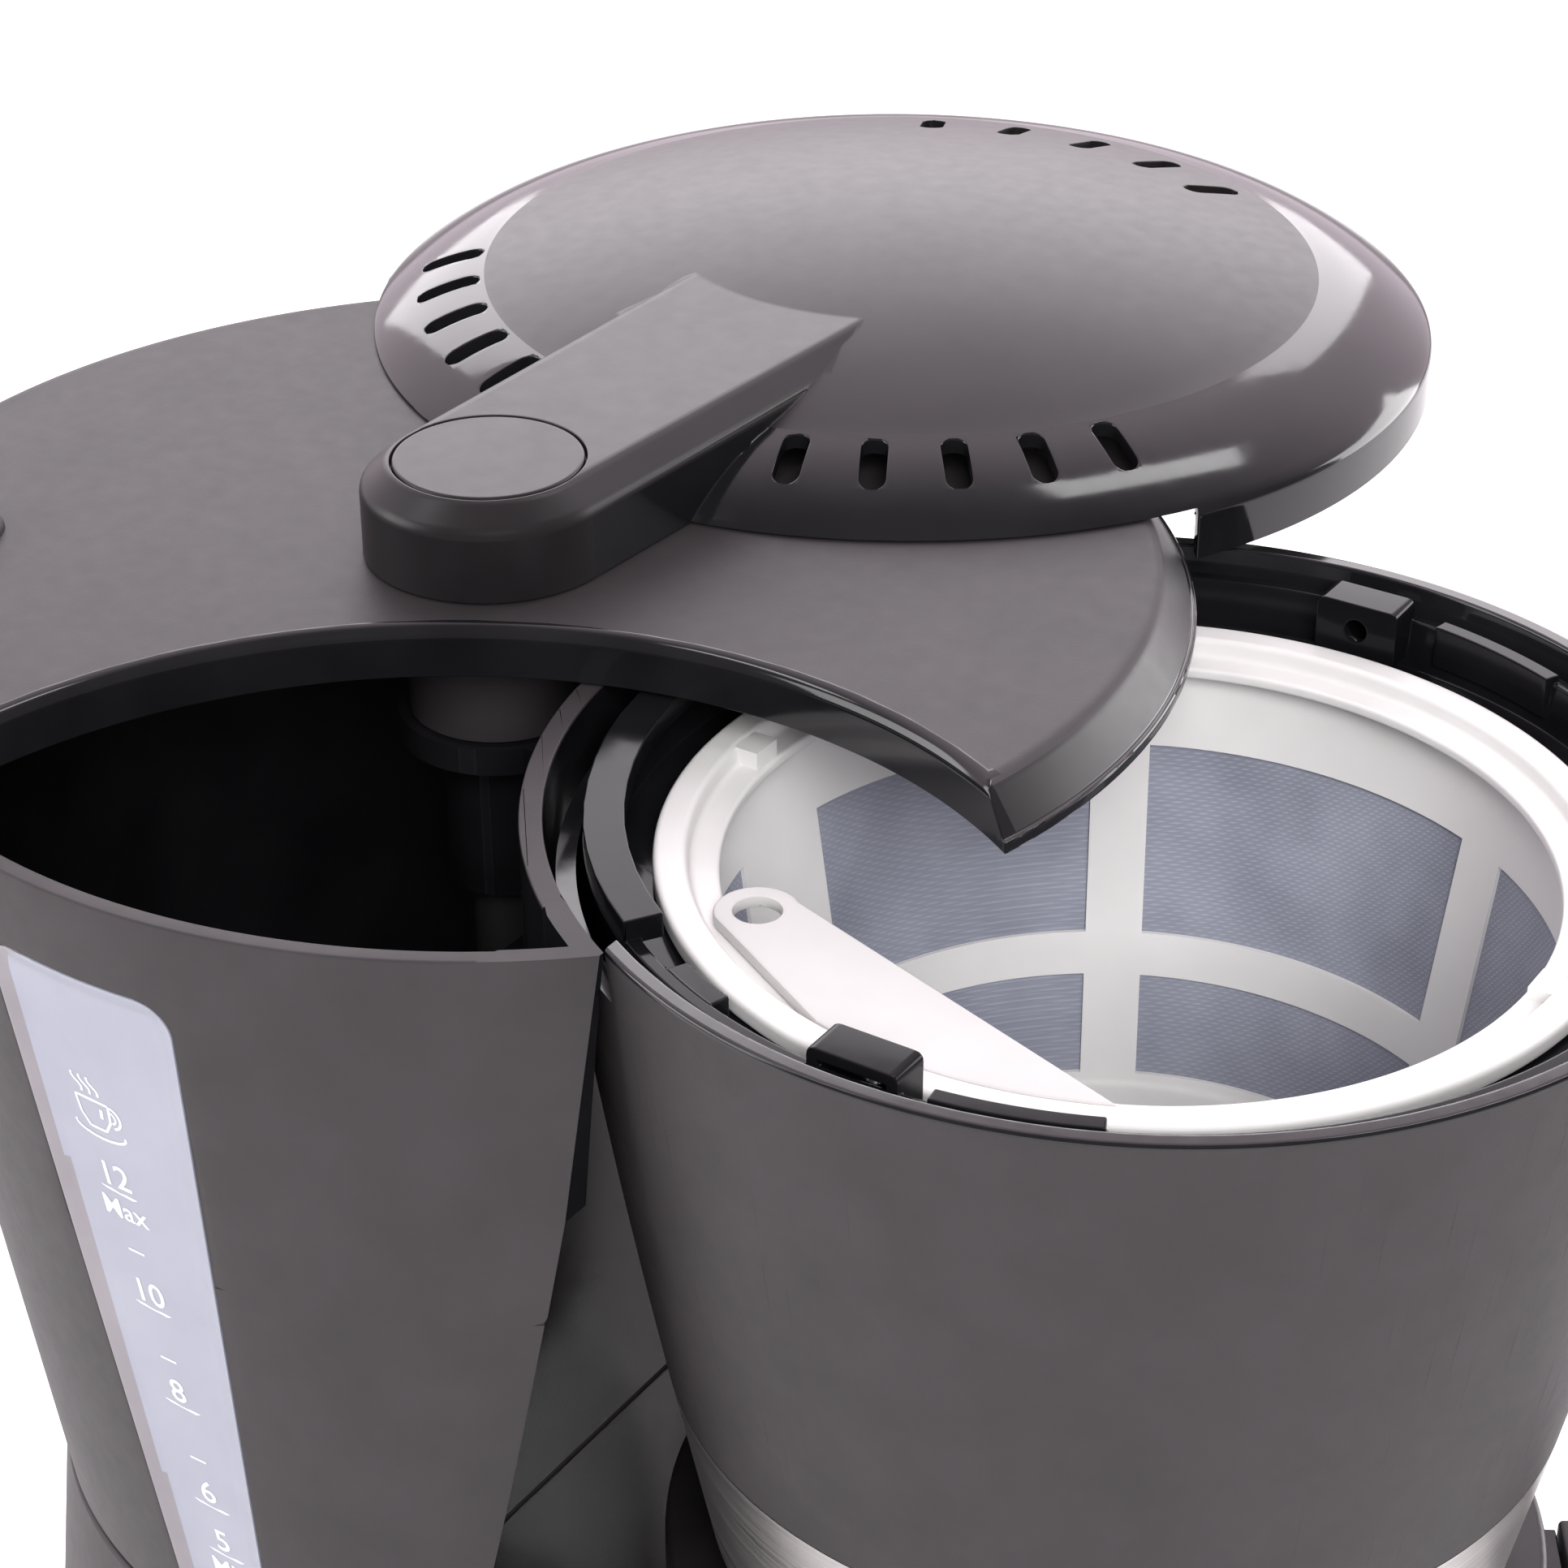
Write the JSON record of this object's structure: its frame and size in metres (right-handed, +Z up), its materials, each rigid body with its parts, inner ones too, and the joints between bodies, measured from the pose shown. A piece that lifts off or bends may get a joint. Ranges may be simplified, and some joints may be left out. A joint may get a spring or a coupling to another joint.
{
  "type": "drip coffee maker",
  "caption": "Drip coffee maker with a round water tank, a tapered filter drum, a swivelling half-moon lid and domed shower arm, and a glass carafe on a warming plate.",
  "frame": {"origin": "on the table, directly under the post that carries the lid and the shower arm", "axes": "+Z up, -Y to the front where the carafe comes out, +X to the right seen from the front"},
  "size_m": [0.2736, 0.2925, 0.328],
  "materials": {
    "black_matte": "fine spark texture, dull black",
    "black_gloss": "polished black moulding",
    "white_plastic": "satin white moulding",
    "window": "frosted clear plastic",
    "filter_net": "fine woven nylon net",
    "brushed_band": "brushed round the drum",
    "carafe_glass": "clear blown glass",
    "rubber": "dull black rubber",
    "silicone": "milky silicone",
    "cast_aluminium": "as cast",
    "zinc_steel": "zinc plated",
    "plate_coating": "dark non-stick coating"
  },
  "bodies": {
    "machine": {"tank_body": "black_matte", "water_window": "window", "pivot_bracket": "black_gloss", "riser_pipe": "silicone", "riser_grommet": "rubber", "outlet_strainer": "white_plastic", "cold_hose": "silicone", "hot_hose": "silicone", "retaining_ring": "zinc_steel", "drum_housing": "black_matte", "steel_band": "brushed_band", "filter_holder": "black_gloss", "filter_frame": "white_plastic", "filter_floor": "white_plastic", "filter_mesh": "filter_net", "filter_handle": "white_plastic", "valve_cage": "black_gloss", "valve_spring": "zinc_steel", "column_housing": "black_matte", "base_housing": "black_matte", "base_plate": "black_matte", "rubber_feet": "rubber", "base_screws": "zinc_steel", "hot_plate": "plate_coating", "hot_plate_seal": "rubber", "heater": "cast_aluminium", "heater_strap": "zinc_steel", "heater_screws": "zinc_steel", "thermostat": "zinc_steel", "thermal_fuse": "white_plastic", "terminal_block": "white_plastic", "switch_frame": "black_gloss", "switch_body": "black_gloss", "cord_grommet": "rubber"},
    "lid": {"tank_lid": "black_matte"},
    "arm": {"swivel_cover": "black_matte", "pivot_cap": "black_matte", "shower_channel": "black_gloss"},
    "carafe": {"carafe_glass": "carafe_glass", "carafe_collar": "black_gloss", "carafe_handle": "black_gloss", "collar_screw": "zinc_steel", "carafe_lid": "black_gloss"},
    "valve": {"drip_valve": "black_gloss", "valve_seal": "rubber"},
    "rocker": {"switch_rocker": "black_gloss"}
  },
  "joints": [
    {"name": "tank_lid_swivel", "type": "hinge", "parent": "machine", "child": "lid", "pos_m": [0, 0, 0.304], "axis": [0, 0, 1], "range_deg": [0, 59.3]},
    {"name": "shower_arm_swivel", "type": "hinge", "parent": "machine", "child": "arm", "pos_m": [0, 0, 0.304], "axis": [0, 0, 1], "range_deg": [-87.8, 0]},
    {"name": "carafe_slide", "type": "slide", "parent": "machine", "child": "carafe", "axis": [0, -1, 0], "range_m": [0, 0.16]},
    {"name": "drip_valve_lift", "type": "slide", "parent": "machine", "child": "valve", "axis": [0, 0, 1], "range_m": [0, 0.004], "stiffness_N_per_m": 250, "springref_m": -0.003, "deforming": ["valve_spring"]},
    {"name": "switch_rocker_tilt", "type": "hinge", "parent": "machine", "child": "rocker", "pos_m": [0, -0.1805, 0.025], "axis": [1, 0, 0], "range_deg": [0, 16]}
  ]
}
